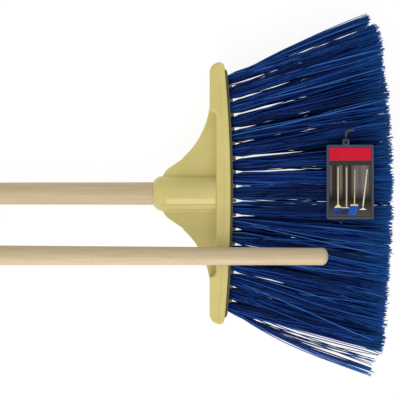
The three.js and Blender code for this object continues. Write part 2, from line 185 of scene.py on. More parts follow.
def add_node(tree, kind, inputs=None, stops=None, **settings):
    node = tree.nodes.new("ShaderNode" + kind)
    for key, value in settings.items():
        setattr(node, key, value)
    for key, value in (inputs or {}).items():
        if isinstance(value, bpy.types.NodeSocket):
            tree.links.new(value, node.inputs[key])
        else:
            node.inputs[key].default_value = value
    if stops:
        ramp = node.color_ramp
        for index, (position, colour) in enumerate(stops):
            element = ramp.elements[index] if index < 2 else ramp.elements.new(position)
            element.position = position
            element.color = colour
    return node


def new_material(name):
    material = bpy.data.materials.new(name)
    material.use_nodes = True
    tree = material.node_tree
    tree.nodes.clear()
    shader = add_node(tree, "BsdfPrincipled")
    add_node(tree, "OutputMaterial", {"Surface": shader.outputs[0]})
    return material, tree, shader


def grey(value):
    return (value, value, value, 1.0)


# %% [markdown]
# ## Satin polypropylene
# The head is injection-moulded polypropylene, coloured all through. The mould leaves a satin skin with
# a fine even grain, and the flow of the melt leaves faint clouds in the colour. Polypropylene has an
# IOR of about 1.49 and is never a perfect gloss.
# %% Satin polypropylene
SKIN_GRAIN = 0.7 * MM  # the real grain is about a tenth of this, too fine to show
MELT_CLOUD = 35 * MM


def satin_polypropylene(name, light, dark, roughness):
    material, tree, shader = new_material(name)
    place_in = add_node(tree, "TexCoord").outputs["Object"]
    cloud = add_node(tree, "TexNoise", {"Vector": place_in, "Scale": 1 / MELT_CLOUD, "Detail": 3.0})
    tint = add_node(
        tree, "ValToRGB", {"Fac": cloud.outputs["Fac"]},
        stops=[(0.35, linear(dark)), (0.65, linear(light))],
    )
    grain = add_node(tree, "TexNoise", {"Vector": place_in, "Scale": 1 / SKIN_GRAIN, "Detail": 2.0})
    gloss = add_node(
        tree, "MapRange",
        {"Value": cloud.outputs["Fac"], "To Min": roughness - 0.04, "To Max": roughness + 0.05},
    )
    bump = add_node(
        tree, "Bump",
        {"Strength": 0.25, "Distance": 0.03 * MM, "Height": grain.outputs["Fac"]},
    )
    tree.links.new(tint.outputs["Color"], shader.inputs["Base Color"])
    tree.links.new(gloss.outputs["Result"], shader.inputs["Roughness"])
    tree.links.new(bump.outputs["Normal"], shader.inputs["Normal"])
    shader.inputs["IOR"].default_value = 1.49
    return material


head_plastic = satin_polypropylene("head polypropylene", "c8bb73", "c0b26b", 0.13)
# The tuft block's dark olive is the head's yellow plastic with painted shade, as it looks deep among the
# tufts' roots.
block_plastic_in_painted_shade = satin_polypropylene("tuft block polypropylene in painted shade", "565134", "49442c", 0.55)

# %% [markdown]
# ## Sanded beech
# The handle is a turned and sanded hardwood stick without varnish. Its grain runs along the stick:
# broad growth bands, fine fibre lines, and the short dark flecks that beech shows everywhere. The
# bands and lines are noises stretched along the stick, with their widths in real millimetres.
# %% Sanded beech
BAND_WIDTH = 7 * MM
FIBRE_WIDTH = 1.3 * MM
FLECK_WIDTH = 0.8 * MM
STRETCH = 45  # how much longer than wide the fibre marks are


def sanded_beech(name, lean):
    material, tree, shader = new_material(name)
    place_in = add_node(tree, "TexCoord").outputs["Object"]
    level = add_node(tree, "Mapping", {"Vector": place_in, "Rotation": (0, lean, 0)}).outputs["Vector"]

    def grain(width, stretch, detail):
        across_grain = 1 / width
        stretched = add_node(
            tree, "Mapping",
            {"Vector": level, "Scale": (across_grain / stretch, across_grain, across_grain)},
        )
        noise = add_node(
            tree, "TexNoise", {"Vector": stretched.outputs["Vector"], "Scale": 1.0, "Detail": detail},
        )
        return noise.outputs["Fac"]

    bands = grain(BAND_WIDTH, STRETCH, 2.0)
    fibres = grain(FIBRE_WIDTH, STRETCH, 3.0)
    flecks = grain(FLECK_WIDTH, STRETCH / 5, 0.0)
    ground = add_node(
        tree, "ValToRGB", {"Fac": bands},
        stops=[(0.3, linear("b5a07a")), (0.55, linear("bfad8b")), (0.75, linear("b9a47f"))],
    )
    lines = add_node(
        tree, "ValToRGB", {"Fac": fibres},
        stops=[(0.3, linear("af9771")), (0.5, linear("bda987")), (0.7, linear("c6b898"))],
    )
    wood = add_node(tree, "Mix", {"Factor": 0.5}, data_type="RGBA")
    # The two colour sockets of a Mix node are the seventh and eighth.
    tree.links.new(ground.outputs["Color"], wood.inputs[6])
    tree.links.new(lines.outputs["Color"], wood.inputs[7])
    fleck_mask = add_node(
        tree, "ValToRGB", {"Fac": flecks}, stops=[(0.7, grey(0)), (0.76, grey(0.35))],
    )
    flecked = add_node(tree, "Mix", {"Factor": fleck_mask.outputs["Color"]}, data_type="RGBA")
    tree.links.new(wood.outputs[2], flecked.inputs[6])
    flecked.inputs[7].default_value = linear("a07c50")
    roughness = add_node(
        tree, "MapRange", {"Value": fibres, "To Min": 0.5, "To Max": 0.68},
    )
    bump = add_node(tree, "Bump", {"Strength": 0.4, "Distance": 0.08 * MM, "Height": fibres})
    tree.links.new(flecked.outputs[2], shader.inputs["Base Color"])
    tree.links.new(roughness.outputs["Result"], shader.inputs["Roughness"])
    tree.links.new(bump.outputs["Normal"], shader.inputs["Normal"])
    return material


# %% [markdown]
# ## Drawn filament
# The bristles are drawn plastic filaments about a millimetre thick, dyed navy. Each has its own shade,
# partly painted light and shade, lighter where a filament would face the light and darker where it
# would lie in others' shadow, and partly scuffing. The trimmed tips are frayed, which scatters the
# light and makes them paler. Two attributes on each mesh say how far along the filament a point is and
# which shade the filament has.
# %% Drawn filament
FRAY_START = 0.78  # share of the free length at which the tips begin to pale


def drawn_filament(name):
    material, tree, shader = new_material(name)
    length = add_node(tree, "Attribute", attribute_name="along").outputs["Fac"]
    shade = add_node(tree, "Attribute", attribute_name="shade").outputs["Fac"]
    # The shade ramp paints light and shade as well as tone: its dark end stands for filaments in the
    # shadow of others, its pale end for filaments that catch the light.
    body = add_node(
        tree, "ValToRGB", {"Fac": shade},
        stops=[
            (0.0, linear("021644")), (0.4, linear("062d76")),
            (0.8, linear("0f4698")), (1.0, linear("3f74b8")),
        ],
    )
    fray = add_node(
        tree, "MapRange", {"Value": length, "From Min": FRAY_START, "From Max": 1.0, "To Max": 0.42},
    )
    frayed = add_node(tree, "Mix", {"Factor": fray.outputs["Result"]}, data_type="RGBA")
    tree.links.new(body.outputs["Color"], frayed.inputs[6])
    frayed.inputs[7].default_value = linear("1561a6")
    scuff = add_node(
        tree, "MapRange", {"Value": length, "From Min": FRAY_START, "To Min": 0.38, "To Max": 0.7},
    )
    tree.links.new(frayed.outputs[2], shader.inputs["Base Color"])
    tree.links.new(scuff.outputs["Result"], shader.inputs["Roughness"])
    shader.inputs["IOR"].default_value = 1.54
    shader.inputs["Specular IOR Level"].default_value = 0.12
    return material


filament_plastic = drawn_filament("dyed filament")

# %% [markdown]
# ## Zinc-plated steel
# The sleeve is a rolled steel tube with a bright zinc coat. Rolling leaves fine lines round the tube,
# and the zinc varies a little in brightness, which shows as faint patches in the reflections. The
# rivet is bare aluminium wire, softer in its gloss.
# %% Zinc-plated steel
def plated_steel(name, colour, roughness, line_width):
    material, tree, shader = new_material(name)
    place_in = add_node(tree, "TexCoord").outputs["Object"]
    squeezed = add_node(
        tree, "Mapping",
        {"Vector": place_in, "Scale": (1 / line_width, 0.06 / line_width, 0.06 / line_width)},
    )
    lines = add_node(
        tree, "TexNoise", {"Vector": squeezed.outputs["Vector"], "Scale": 1.0, "Detail": 3.0},
    )
    patches = add_node(tree, "TexNoise", {"Vector": place_in, "Scale": 1 / (6 * MM), "Detail": 2.0})
    gloss = add_node(
        tree, "MapRange",
        {"Value": patches.outputs["Fac"], "To Min": roughness - 0.08, "To Max": roughness + 0.1},
    )
    bump = add_node(
        tree, "Bump", {"Strength": 0.3, "Distance": 0.02 * MM, "Height": lines.outputs["Fac"]},
    )
    shader.inputs["Base Color"].default_value = linear(colour)
    shader.inputs["Metallic"].default_value = 1.0
    tree.links.new(gloss.outputs["Result"], shader.inputs["Roughness"])
    tree.links.new(bump.outputs["Normal"], shader.inputs["Normal"])
    return material


zinc = plated_steel("zinc-plated steel", "c3c8cc", 0.32, 0.5 * MM)
rivet_metal = plated_steel("aluminium rivet", "d3d4d2", 0.4, 0.4 * MM)

# %% [markdown]
# ## The tag's plastic and its printed card
# The frame and the hook are small mouldings of dark nylon. The card is laminated: its ink colours are
# painted on the mesh as an attribute, one colour for each printed area, a fine noise stands for the
# print's grain, and the laminate gives it a soft gloss.
# %% Tag materials
def dark_nylon(name, colour, roughness):
    material, tree, shader = new_material(name)
    place_in = add_node(tree, "TexCoord").outputs["Object"]
    grain = add_node(tree, "TexNoise", {"Vector": place_in, "Scale": 1 / (0.5 * MM), "Detail": 2.0})
    gloss = add_node(
        tree, "MapRange",
        {"Value": grain.outputs["Fac"], "To Min": roughness - 0.06, "To Max": roughness + 0.06},
    )
    bump = add_node(
        tree, "Bump", {"Strength": 0.25, "Distance": 0.02 * MM, "Height": grain.outputs["Fac"]},
    )
    shader.inputs["Base Color"].default_value = linear(colour)
    shader.inputs["IOR"].default_value = 1.53
    tree.links.new(gloss.outputs["Result"], shader.inputs["Roughness"])
    tree.links.new(bump.outputs["Normal"], shader.inputs["Normal"])
    return material


def laminated_print(name):
    material, tree, shader = new_material(name)
    place_in = add_node(tree, "TexCoord").outputs["Object"]
    ink = add_node(tree, "Attribute", attribute_name="ink").outputs["Color"]
    streaks = add_node(
        tree, "Mapping", {"Vector": place_in, "Scale": (1 / (1.1 * MM), 1 / (14 * MM), 1 / MM)},
    )
    grain = add_node(
        tree, "TexNoise", {"Vector": streaks.outputs["Vector"], "Scale": 1.0, "Detail": 3.0},
    )
    depth = add_node(
        tree, "MapRange",
        {"Value": grain.outputs["Fac"], "From Min": 0.3, "From Max": 0.7, "To Min": 0.8, "To Max": 0.98},
    )
    tinted = add_node(tree, "VectorMath", {0: ink, 1: depth.outputs["Result"]}, operation="MULTIPLY")
    tree.links.new(tinted.outputs[0], shader.inputs["Base Color"])
    shader.inputs["Roughness"].default_value = 0.5
    shader.inputs["Specular IOR Level"].default_value = 0.15
    return material


tag_plastic = dark_nylon("dark nylon", "2a3049", 0.45)
hook_plastic = dark_nylon("dark nylon, hook", "23291f", 0.5)
card_print = laminated_print("laminated print")
print("materials", [m.name for m in bpy.data.materials])

# %% [markdown]
# ## The head
# The head is one moulding: a long block with a rim round its mouth, a neck that flares to meet it, and
# a round boss with a collar that takes the handle. Each of those is a plain solid that can be modelled
# at its true size. They are joined, and a voxel remesh with a light smoothing melts their meeting
# edges into the small fillets that a mould leaves. The socket and the pocket are cut afterwards, so
# that their edges stay crisp.
# %% Head sizes
HALF_LENGTH = (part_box("head_shell")[1].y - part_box("head_shell")[0].y) / 2
FACE_AT_AXIS = 82 * MM
FACE_RADIUS = 1390 * MM
RIM_DEPTH = 6 * MM
RIM_STEP = 1.4 * MM
RIM_CORNER = 5 * MM
RIM_HALF = 25 * MM
BLOCK_BACK = 60 * MM
BAND_BACK = 67 * MM
BAND_HALF = 78 * MM
BAND_RUN = 18 * MM
CORNER_RADIUS = 10 * MM
FLARE_RADIUS = 83.4 * MM
FLARE_END = 100.9 * MM
FLARE_START = 10.6 * MM
WEB_HALF = 8 * MM
SHOULDER = [(10.6, 19.5), (12.3, 22.6), (15.2, 25.9), (20.5, 29.5)]  # eases the neck into the boss
BOSS_RADIUS = 20.5 * MM
COLLAR_RADIUS = 18.6 * MM
NOSE_LENGTH = 8 * MM
SOCKET_RADIUS = 12.3 * MM
SOCKET_DEPTH = 62 * MM
POCKET_WALL = 4.5 * MM
POCKET_DEPTH = 10 * MM
PAST = 20 * MM  # how far a cutting tool reaches past the surface


def face_x(y, behind=0.0):
    return FACE_AT_AXIS - behind - FACE_RADIUS + math.sqrt(FACE_RADIUS**2 - y**2)


def box_piece(name, low, high):
    low, high = Vector(low), Vector(high)
    piece = start_piece(name, bpy.ops.mesh.primitive_cube_add, size=1, location=(low + high) / 2)
    piece.scale = high - low
    apply_transform(piece)
    return piece


def edit(piece, choose, kind="EDGE"):
    """Opens a piece in edit mode with only the parts selected that choose accepts."""
    clear_selection()
    piece.select_set(True)
    bpy.context.view_layer.objects.active = piece
    bpy.ops.object.mode_set(mode="EDIT")
    bpy.ops.mesh.select_mode(type=kind)
    bpy.ops.mesh.select_all(action="DESELECT")
    bpy.ops.object.mode_set(mode="OBJECT")
    mesh = piece.data
    items = {"VERT": mesh.vertices, "EDGE": mesh.edges, "FACE": mesh.polygons}[kind]
    for item in items:
        if kind == "VERT":
            item.select = choose(item.co)
        elif kind == "EDGE":
            item.select = choose(*(mesh.vertices[i].co for i in item.vertices))
        else:
            item.select = choose(item)
    bpy.ops.object.mode_set(mode="EDIT")


def bevel_edges(piece, choose, width, segments):
    edit(piece, choose)
    bpy.ops.mesh.bevel(offset=width, segments=segments, affect="EDGES")
    bpy.ops.object.mode_set(mode="OBJECT")


def follow_face(piece, bends):
    """Divides a bar along Y and bends the part of it that bends() accepts to the head's arc."""
    edit(piece, lambda a, b: abs(a.y - b.y) > HALF_LENGTH and bends(min(a.x, b.x)))
    bpy.ops.mesh.subdivide(number_cuts=40)
    bpy.ops.object.mode_set(mode="OBJECT")
    for vertex in piece.data.vertices:
        if bends(vertex.co.x):
            vertex.co.x += face_x(vertex.co.y) - FACE_AT_AXIS


def upright(a, b):
    return abs(a.z - b.z) > MM and abs(a.y - b.y) < MM and abs(a.x - b.x) < MM


# %% [markdown]
# The block is a bar with rounded back corners. Between its ends the back edge steps forward, so the
# neck's lower surface runs further in: two shallow boxes with slanted ends are cut away, one above the
# neck and one below.
# %% Block, rim, neck and boss
BLOCK_LEVEL = RIM_HALF - RIM_STEP  # height of the block's upper and lower surface
SOFT_EDGE = 2 * MM


def on_back_edge(co):
    return abs(abs(co.z) - BLOCK_LEVEL) < 1e-5 and co.x < FACE_AT_AXIS - 8 * MM


block = box_piece(
    "head", (BLOCK_BACK, -HALF_LENGTH, -BLOCK_LEVEL),
    (FACE_AT_AXIS - RIM_DEPTH + MM, HALF_LENGTH, BLOCK_LEVEL),
)
bevel_edges(block, lambda a, b: upright(a, b) and a.x < BLOCK_BACK + MM, CORNER_RADIUS, 8)
follow_face(block, lambda x: x > FACE_AT_AXIS - RIM_DEPTH)

for side in (1, -1):
    step = box_piece(
        "step", (BLOCK_BACK - PAST, -BAND_HALF - BAND_RUN / 2, WEB_HALF - MM),
        (BAND_BACK, BAND_HALF + BAND_RUN / 2, RIM_HALF + PAST),
    )
    bevel_edges(step, lambda a, b: upright(a, b) and a.x > BAND_BACK - MM, 6 * MM, 6)
    if side < 0:
        step.scale.z = -1
        apply_transform(step)
        edit(step, lambda face: True, "FACE")
        bpy.ops.mesh.normals_make_consistent(inside=False)
        bpy.ops.object.mode_set(mode="OBJECT")
    cut_or_join(block, step, "DIFFERENCE")
bevel_edges(block, lambda a, b: on_back_edge(a) and on_back_edge(b), SOFT_EDGE, 3)

rim = box_piece(
    "rim", (FACE_AT_AXIS - RIM_DEPTH, -HALF_LENGTH, -RIM_HALF),
    (FACE_AT_AXIS, HALF_LENGTH, RIM_HALF),
)
bevel_edges(rim, lambda a, b: upright(a, b) and a.x > FACE_AT_AXIS - MM, RIM_CORNER, 7)
follow_face(rim, lambda x: True)

# The neck is a thin web whose two sides are cut hollow by large cylinders.
web = box_piece(
    "web", (FLARE_START, -FLARE_END, -WEB_HALF),
    (FACE_AT_AXIS - RIM_DEPTH, FLARE_END, WEB_HALF),
)
for side in (1, -1):
    flare = start_piece(
        "flare", bpy.ops.mesh.primitive_cylinder_add, vertices=256, radius=FLARE_RADIUS,
        depth=4 * WEB_HALF, location=(BLOCK_BACK - FLARE_RADIUS, side * FLARE_END, 0),
    )
    apply_transform(flare)
    cut_or_join(web, flare, "DIFFERENCE")
for side in (1, -1):
    for (u0, v0), (u1, v1) in zip(SHOULDER, SHOULDER[1:]):
        turn = math.atan2(v1 - v0, u1 - u0)
        wedge = box_piece("wedge", (-PAST, 0, -PAST), (PAST, PAST, PAST))
        wedge.data.transform(Matrix.Translation((u0 * MM, v0 * MM, 0)) @ Matrix.Rotation(turn, 4, "Z"))
        if side < 0:
            wedge.data.transform(Matrix.Rotation(math.pi, 4, "X"))
        cut_or_join(web, wedge, "DIFFERENCE")
add_modifier(web, "BEVEL", width=2.2 * MM, segments=4, limit_method="ANGLE", angle_limit=math.radians(50))

# The boss is spun with its collar, whose nose narrows towards the mouth of the socket.
nose = [
    (NOSE_LENGTH * t, NOSE_RADIUS + (COLLAR_RADIUS - NOSE_RADIUS) * math.sin(math.pi / 2 * t))
    for t in (i / 6 for i in range(7))
]
boss = spun("boss", [
    (0, 0), *nose,
    (FLARE_START, COLLAR_RADIUS + 0.4 * MM),
    (FLARE_START + 2.4 * MM, BOSS_RADIUS - 0.4 * MM),
    (FLARE_START + 5 * MM, BOSS_RADIUS),
    (BAND_BACK, BOSS_RADIUS), (BAND_BACK + 3 * MM, BOSS_RADIUS - 2 * MM), (BAND_BACK + 3 * MM, 0),
], steps=128)
print("block", len(block.data.polygons), "web", len(web.data.polygons), "boss", len(boss.data.polygons))

# %% [markdown]
# The four solids become one skin. They are joined and voxel-remeshed, which keeps only the outside of
# overlapping solids. The voxels are fine enough to keep the rim's small step, and a light smoothing
# rounds every meeting edge as a mould does. Flat stretches need far fewer faces than the voxels give,
# so the mesh is thinned afterwards.
# %% One moulding
VOXEL = 0.6 * MM

clear_selection()
for part in (block, rim, web, boss):
    part.select_set(True)
bpy.context.view_layer.objects.active = block
bpy.ops.object.join()
head = bpy.context.object
add_modifier(head, "REMESH", mode="VOXEL", voxel_size=VOXEL, adaptivity=0.0)
add_modifier(head, "SMOOTH", factor=0.5, iterations=5)
add_modifier(head, "DECIMATE", decimate_type="COLLAPSE", ratio=0.3)
print("moulding", len(head.data.polygons))

socket = start_piece(
    "socket", bpy.ops.mesh.primitive_cylinder_add, vertices=96, radius=SOCKET_RADIUS,
    depth=SOCKET_DEPTH + PAST, location=((SOCKET_DEPTH - PAST) / 2, 0, 0), rotation=(0, math.pi / 2, 0),
)
apply_transform(socket)
cut_or_join(head, socket, "DIFFERENCE")

pocket_half = HALF_LENGTH - 2 * MM - POCKET_WALL
pocket = box_piece(
    "pocket", (FACE_AT_AXIS - POCKET_DEPTH, -pocket_half, POCKET_WALL - RIM_HALF),
    (FACE_AT_AXIS + PAST, pocket_half, RIM_HALF - POCKET_WALL),
)
follow_face(pocket, lambda x: True)
cut_or_join(head, pocket, "DIFFERENCE")
smooth(head, 40)
head = place(head, BROOM, "broom_head", head_plastic, ["head_shell"])

# %% [markdown]
# ## The tuft block
# The block sits in the head's mouth and is drilled for the tufts. Its CAD solid already has the true
# shape and all the holes, so it only needs its finish: a dark olive, the head's yellow plastic with
# painted shade, as it looks down among the tufts' roots. Between neighbouring tufts a moulded rib
# stands on it, which keeps the tufts apart at their roots. One rib is modelled as a tapered bar and
# copied, and has the same painted shade.
# %% Tuft block and ribs
TUFTS_PER_ROW = 17
TUFT_PITCH = 15 * MM
BLOCK_PROUD = 2.5 * MM
RIB_WIDTH = 4.2 * MM
RIB_REACH = 3.4 * MM
RIB_HALF = 18.5 * MM

frame["nodes"]["tuft_block"].data.materials.clear()
frame["nodes"]["tuft_block"].data.materials.append(block_plastic_in_painted_shade)

rib = box_piece("rib", (-RIB_REACH / 2, -RIB_WIDTH / 2, -RIB_HALF), (RIB_REACH, RIB_WIDTH / 2, RIB_HALF))
edit(rib, lambda co: co.x > 0, "VERT")
bpy.ops.transform.resize(value=(1, 0.75, 0.96), center_override=(0, 0, 0))
bpy.ops.object.mode_set(mode="OBJECT")
bevel_edges(rib, lambda a, b: a.x > 0 and b.x > 0, 0.9 * MM, 3)
smooth(rib)
for gap in range(TUFTS_PER_ROW - 1):
    y = (gap + 1 - TUFTS_PER_ROW / 2) * TUFT_PITCH
    copy = bpy.data.objects.new(f"rib_{gap + 1:02d}", rib.data.copy())
    bpy.context.scene.collection.objects.link(copy)
    turn = Matrix.Rotation(math.radians(2.7) * y / TUFT_PITCH, 4, "Z")
    copy.data.transform(BROOM @ Matrix.Translation((face_x(y, -BLOCK_PROUD), y, 0)) @ turn)
    copy.data.materials.append(block_plastic_in_painted_shade)
    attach(copy, "broom_head")
bpy.data.objects.remove(rib)

# %% [markdown]
# ## One filament
# A filament is modelled once, as a thin four-sided bar a unit long, cut across so that it can bend.
# Its end is pinched a little, as trimming leaves it. Every filament of every tuft is a copy of it,
# bent along its own path.
# %% One filament
FILAMENT_RADIUS = 0.52 * MM
SEGMENTS = 9

filament = start_piece(
    "filament", bpy.ops.mesh.primitive_cylinder_add, vertices=4, radius=1, depth=1,
    location=(0.5, 0, 0), rotation=(0, math.pi / 2, 0),
)
apply_transform(filament)
edit(filament, lambda a, b: abs(a.x - b.x) > 0.5)
bpy.ops.mesh.subdivide(number_cuts=SEGMENTS - 1)
bpy.ops.object.mode_set(mode="OBJECT")
bar = np.array([vertex.co[:] for vertex in filament.data.vertices])
bar_faces = [tuple(face.vertices) for face in filament.data.polygons]
bar[bar[:, 0] > 0.99, 1:] *= 0.75
bpy.data.objects.remove(filament)
print("filament", len(bar), "vertices", len(bar_faces), "faces")

# %% [markdown]
# ## The tufts
# A tuft is a bundle folded in half and stapled into its hole. It leaves the hole tight and round,
# swells quickly, and then spreads slowly until it meets its neighbours. The filaments cling together
# in locks, cross each other a little, and are trimmed to one line. The end tufts lean out to make the
# fan, and use has split them: part of each follows its neighbour and a few filaments stand apart.
# %% Tuft sizes
ROW_SIDES = {"top": 1, "mid": 0, "low": -1}
ROW_PITCH = 14 * MM
ROW_SPREAD = 8 * MM
FAN_ANGLE = 21.5
TUFT_REACH = 166.5 * MM
TUFT_GRIP = 9 * MM
ROOT_RADIUS = 3.0 * MM
SWELL = 4.8 * MM  # gained soon after the hole
SWELL_LENGTH = 4.5 * MM
SPREAD = 0.034  # gained per unit of length after that
FILAMENTS = 66
LOCKS = 7
WAVE = 0.8 * MM
FLATNESS = 0.76  # the rows press on each other, so the tufts are wider than thick
FLOOR_GAP = 0.3 * MM

# Each bundle: share of the tuft, lean in degrees, fullness, how much shorter and how far it bows, in mm.
WHOLE = [(1.0, 0.0, 1.0, 0.0, 0.0)]
SPLIT = {
    0: [
        (0.88, 8.6, 0.85, 0.0, 0.0), (0.04, -2.9, 0.2, 0.0, -6.5),
        (0.04, -0.9, 0.5, 1.0, -6.0), (0.04, 2.0, 0.7, 2.0, -4.0),
    ],
    1: [(1.0, 3.4, 1.0, 0.0, 0.0)],
    2: [(1.0, 1.6, 1.0, 0.0, 0.0)],
    3: [(1.0, 0.6, 1.0, 0.0, 0.0)],
    16: [(0.55, -3.9, 0.75, 1.0, 0.0), (0.45, 1.7, 0.32, 6.0, 3.0)],
}
# Single filaments of the top row that lie across the others: tuft, lean in degrees.
ACROSS = {2: -6.8, 6: -6.0}


def disc(rng, count):
    radius = np.sqrt(rng.random(count))
    angle = rng.random(count) * math.tau
    return np.stack([radius * np.cos(angle), radius * np.sin(angle)], axis=1)


# %% [markdown]
# The paths of a bundle's filaments are worked out together. Each runs from its own spot in the hole
# through its lock's spot to its own spot at the tip, and the bundle's radius grows along the way.
# %% Bundle of filaments
def bundle(rng, root, fan, side, spec):
    share, lean, fullness, shorter, bow = spec
    count = max(2, round(FILAMENTS * share))
    lock = rng.integers(0, LOCKS, count)
    spots = disc(rng, LOCKS) * 0.95
    start = disc(rng, count)
    half_way = spots[lock] + disc(rng, count) * 0.6
    end = spots[lock] * 0.9 + disc(rng, count) * 0.62
    # Each lock and each filament gets a shade of its own. The spread is partly random tone and partly
    # painted light and shade: whole locks are darkened as if in shadow or lightened as if lit.
    lock_shade = rng.normal(0, 0.16, LOCKS)
    shade = (rng.random(count) ** 1.4 * 0.9 + lock_shade[lock]).clip(0, 0.95)
    loose = 0.7 if share == 1 else 0.25
    turn = np.radians(fan + lean + rng.normal(0, loose) + rng.normal(0, 0.6, count))
    rise = math.asin(ROW_SPREAD * side / TUFT_REACH) + np.radians(rng.normal(0, 0.25, count))
    reach = TUFT_REACH - shorter * MM + rng.normal(0, MM, count).clip(-4 * MM, 2 * MM)

    t = np.broadcast_to(bar[:, 0], (count, len(bar)))
    run = -TUFT_GRIP + t * (reach + TUFT_GRIP)[:, None]
    out = run.clip(0, None)
    part = out / TUFT_REACH
    tight = np.exp(-out / SWELL_LENGTH)
    radius = ROOT_RADIUS * tight + (ROOT_RADIUS + SWELL + SPREAD * out) * fullness * (1 - tight)
    weights = [(1 - part) ** 2, 2 * part * (1 - part), part**2]
    phase = rng.random((2, count, 1)) * math.tau
    waves = 1.0 + rng.random((2, count, 1)) * 1.6
    offsets = []
    for k in range(2):
        spot = sum(w * p[:, k, None] for w, p in zip(weights, (start, half_way, end)))
        wave = WAVE * part * np.sin(phase[k] + waves[k] * math.pi * part)
        offsets.append(radius * spot.clip(-1.05, 1.05) + wave)
    offsets[1] = offsets[1] * (1 - (1 - FLATNESS) * part.clip(0, 0.2) / 0.2)
    bowed = bow * MM * np.sin(math.pi * part.clip(0, 1) ** 0.8)
    thick = (FILAMENT_RADIUS * (0.85 + 0.3 * rng.random(count)))[:, None]
    sideways = offsets[0] + bowed + bar[:, 1] * thick
    upwards = offsets[1] + bar[:, 2] * thick
    turn, rise = turn[:, None], rise[:, None]
    held = run.clip(None, 0)
    straight = math.radians(fan)
    x = root.x + held * math.cos(straight) + out * np.cos(turn) - sideways * np.sin(turn)
    y = root.y + held * math.sin(straight) + out * np.sin(turn) + sideways * np.cos(turn)
    z = root.z + run * np.sin(rise) + upwards
    return np.stack([x, y, z], axis=2), part, np.broadcast_to(shade[:, None], part.shape)


def crossing_filament(rng, root, fan, lean):
    """One pale filament that lies on top of the top row at an angle of its own."""
    points, part, _ = bundle(rng, root, fan, 1, (0.03, lean, 0.2, 6.0, 0.0))
    points, part = points[:1], part[:1]
    points[:, :, 2] += part * SPREAD * TUFT_REACH + SWELL * part.clip(0, 0.1) / 0.1 + 2.5 * MM * part
    return points, part, np.full_like(part, 0.9)


def tuft_mesh(name, side, index):
    rng = np.random.default_rng(4000 + 100 * side + index)
    from_middle = index - (TUFTS_PER_ROW - 1) / 2
    fan = FAN_ANGLE * from_middle / ((TUFTS_PER_ROW - 1) / 2)
    y = from_middle * TUFT_PITCH
    root = Vector((face_x(y, -BLOCK_PROUD), y, side * ROW_PITCH))
    made = [bundle(rng, root, fan, side, spec) for spec in SPLIT.get(index, WHOLE)]
    if side == 1 and index in ACROSS:
        made.append(crossing_filament(rng, root, fan, ACROSS[index]))
    points, part, shade = (np.concatenate(items) for items in zip(*made))
    count, size = part.shape
    laid = points.reshape(-1, 3) @ np.array(BROOM.to_3x3()).T + np.array(BROOM.translation)
    laid[:, 2] = laid[:, 2].clip(FLOOR_GAP, None)
    faces = [tuple(i + n * size for i in face) for n in range(count) for face in bar_faces]
    mesh = bpy.data.meshes.new(name)
    mesh.from_pydata(laid.tolist(), [], faces)
    for key, values in (("along", part), ("shade", shade)):
        attribute = mesh.attributes.new(key, "FLOAT", "POINT")
        attribute.data.foreach_set("value", values.astype(np.float32).ravel())
    return mesh


# %% Tufts in their holes
tufts = []
for row, side in ROW_SIDES.items():
    for index in range(TUFTS_PER_ROW):
        name = f"filaments_{row}_{index + 1:02d}"
        tuft = bpy.data.objects.new(name, tuft_mesh(name, side, index))
        bpy.context.scene.collection.objects.link(tuft)
        tuft.data.materials.append(filament_plastic)
        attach(tuft, "broom_head")
        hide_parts(f"tuft_{row}_{index + 1:02d}")
        tufts.append(tuft)
clear_selection()
for tuft in tufts:
    tuft.select_set(True)
bpy.context.view_layer.objects.active = tufts[0]
bpy.ops.object.shade_smooth()
print("tufts", len(tufts), "faces", sum(len(t.data.polygons) for t in tufts))

# %% [markdown]
# ## The handle sections
# Both sections are turned sticks. The lower one is seated in the socket and ends in the steel sleeve.
# The upper one lies across the head: its far end is on the floor and it leans over the rim. Its lean
# comes from its box, whose length and height are those of a round stick at that angle.
# %% Lower section
LOWER_LENGTH = 600 * MM
HANDLE_RADIUS = 12 * MM
COUPLING_RADIUS = 11.2 * MM
SLEEVE_GRIP = 40 * MM
FIT = 0.3 * MM
EASE = 1.5 * MM  # the eased edge at a stick's end

tilt = math.asin(along.z)
lower_wood = sanded_beech("beech, lower section", tilt)


def eased_start(radius):
    return [(0, 0), (0, radius - EASE), (EASE * 0.3, radius - EASE * 0.3), (EASE, radius)]


stick = spun("lower_stick", [
    *eased_start(HANDLE_RADIUS),
    (SOCKET_DEPTH, HANDLE_RADIUS), (LOWER_LENGTH - SLEEVE_GRIP - EASE, COUPLING_RADIUS),
    (LOWER_LENGTH - EASE, COUPLING_RADIUS),
    (LOWER_LENGTH - EASE * 0.3, COUPLING_RADIUS - EASE * 0.3),
    (LOWER_LENGTH, COUPLING_RADIUS - EASE), (LOWER_LENGTH, 0),
])
smooth(stick)
FROM_SOCKET = BROOM @ Matrix.Translation((SOCKET_DEPTH - FIT, 0, 0)) @ Matrix.Rotation(math.pi, 4, "Z")
place(stick, FROM_SOCKET, "lower_handle", lower_wood, ["handle_lower"])

# %% Upper section
UPPER_LENGTH = 600 * MM
TIP_RADIUS = 8.95 * MM
DOME = 6.2 * MM
BELLY_AT = 250 * MM
BELLY_RADIUS = 10.6 * MM

low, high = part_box("handle_upper")
